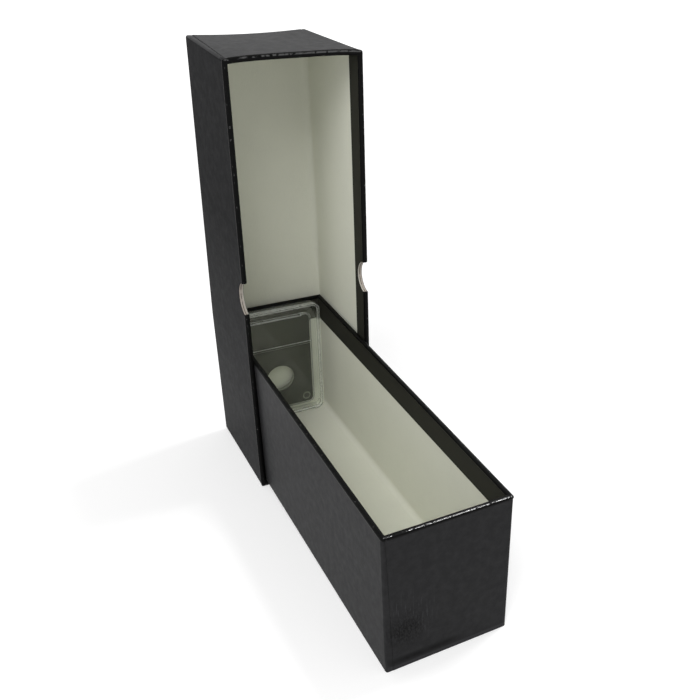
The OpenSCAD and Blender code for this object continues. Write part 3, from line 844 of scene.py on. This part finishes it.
def pale_floor(colour):
    """The plain pale floor. Where it's seen it glows a little, more so further out, so it renders white and
    keeps the object's shadow."""
    mesh = bpy.data.meshes.new("studio_floor")
    work = bmesh.new()
    bmesh.ops.create_circle(work, cap_ends=True, segments=96, radius=FLOOR_RADIUS)
    work.to_mesh(mesh)
    work.free()
    floor = bpy.data.objects.new("studio_floor", mesh)
    bpy.context.scene.collection.objects.link(floor)
    material, tree = fresh_material("matt studio paper")
    sheet = add(tree, "ShaderNodeBsdfDiffuse", {"Color": tuple(colour)}).outputs[0]
    spot = add(tree, "ShaderNodeTexCoord").outputs["Object"]
    reach = add(tree, "ShaderNodeVectorMath", {0: spot}, operation="LENGTH").outputs["Value"]
    even = add(tree, "ShaderNodeMapRange", {0: reach, 1: 0.5, 2: 1.6, 3: 0.3, 4: 0.7}).outputs[0]
    lift = add(tree, "ShaderNodeMath", {0: seen_directly(tree), 1: even}, operation="MULTIPLY").outputs[0]
    glow = add(tree, "ShaderNodeEmission", {"Color": WHITE, "Strength": lift}).outputs[0]
    whole = add(tree, "ShaderNodeAddShader", {0: sheet, 1: glow}).outputs[0]
    add(tree, "ShaderNodeOutputMaterial", {"Surface": whole})
    mesh.materials.append(material)


def pale_surround(strength):
    """Even light from all around, which is plain white where it's seen."""
    world = bpy.data.worlds.new("pale studio")
    world.use_nodes = True
    world.node_tree.nodes.clear()
    tree = world.node_tree
    level = add(tree, "ShaderNodeMix", {0: seen_directly(tree), 2: strength, 3: 1.0}).outputs[0]
    surround = add(tree, "ShaderNodeBackground", {"Color": WHITE, "Strength": level}).outputs[0]
    add(tree, "ShaderNodeOutputWorld", {"Surface": surround})
    bpy.context.scene.world = world


def photo_camera(focal):
    """The camera that was fitted to the photo."""
    camera_data = bpy.data.cameras.new("photo_camera")
    camera = bpy.data.objects.new("photo_camera", camera_data)
    bpy.context.scene.collection.objects.link(camera)
    camera.location = CAMERA_PLACE
    camera.rotation_euler = Euler(CAMERA_TURN, "XYZ")
    camera_data.sensor_width = 36
    camera_data.lens = focal
    camera_data.shift_x, camera_data.shift_y = CAMERA_SHIFT
    camera_data.clip_start = 0.01
    bpy.context.scene.camera = camera


class COINBOX_OT_stage(bpy.types.Operator):
    """Sets the pale floor, the soft lamps and the camera"""
    bl_idname = "coinbox.stage"
    bl_label = "Stage"

    def execute(self, context):
        stage = context.scene.coin_box.stage
        context.scene.view_settings.view_transform = "Standard"
        pale_floor(stage.floor)
        pale_surround(stage.sky)
        soft_lamp("key_lamp", KEY_PLACE, BOX_MIDDLE, 1.3, stage.key)
        soft_lamp("fill_lamp", FILL_PLACE, BOX_MIDDLE, 0.7, stage.fill)
        soft_lamp("top_lamp", TOP_PLACE, ABOVE_TRAY, 0.35, stage.top)
        photo_camera(stage.focal)
        return {"FINISHED"}


class CoinBoxSettings(bpy.types.PropertyGroup):
    """All settings of the box and its stage."""
    paper: PointerProperty(type=PaperSettings, name="Papers", description="Papers and board")
    slack: PointerProperty(type=SlackSettings, name="Slack", description="How the boxes have moved out of square")
    holder: PointerProperty(type=HolderSettings, name="Holder", description="Coin holder")
    stage: PointerProperty(type=StageSettings, name="Stage", description="Camera, lamps and floor")


class COINBOX_PT_panel(bpy.types.Panel):
    """Settings and steps of the coin holder box"""
    bl_idname = "COINBOX_PT_panel"
    bl_label = "Coin holder box"
    bl_space_type = "VIEW_3D"
    bl_region_type = "UI"
    bl_category = "Coin box"

    def draw(self, context):
        settings = context.scene.coin_box
        for group in (settings.paper, settings.slack, settings.holder, settings.stage):
            column = self.layout.column()
            for name in group.__annotations__:
                column.prop(group, name)
        for operator in OPERATORS:
            self.layout.operator(operator.bl_idname)


OPERATORS = (COINBOX_OT_wraps, COINBOX_OT_linings, COINBOX_OT_boards, COINBOX_OT_holder, COINBOX_OT_stage)
CLASSES = (PaperSettings, SlackSettings, HolderSettings, StageSettings, CoinBoxSettings) + OPERATORS + (
    COINBOX_PT_panel,)


def register():
    """Adds the settings, operators and panel."""
    for cls in CLASSES:
        bpy.utils.register_class(cls)
    bpy.types.Scene.coin_box = PointerProperty(type=CoinBoxSettings)


def unregister():
    """Takes them away again."""
    del bpy.types.Scene.coin_box
    for cls in reversed(CLASSES):
        bpy.utils.unregister_class(cls)


def main():
    """Builds every piece and the stage."""
    register()
    bpy.ops.coinbox.wraps()
    bpy.ops.coinbox.linings()
    bpy.ops.coinbox.boards()
    bpy.ops.coinbox.holder()
    bpy.ops.coinbox.stage()


if __name__ == "__main__":
    main()
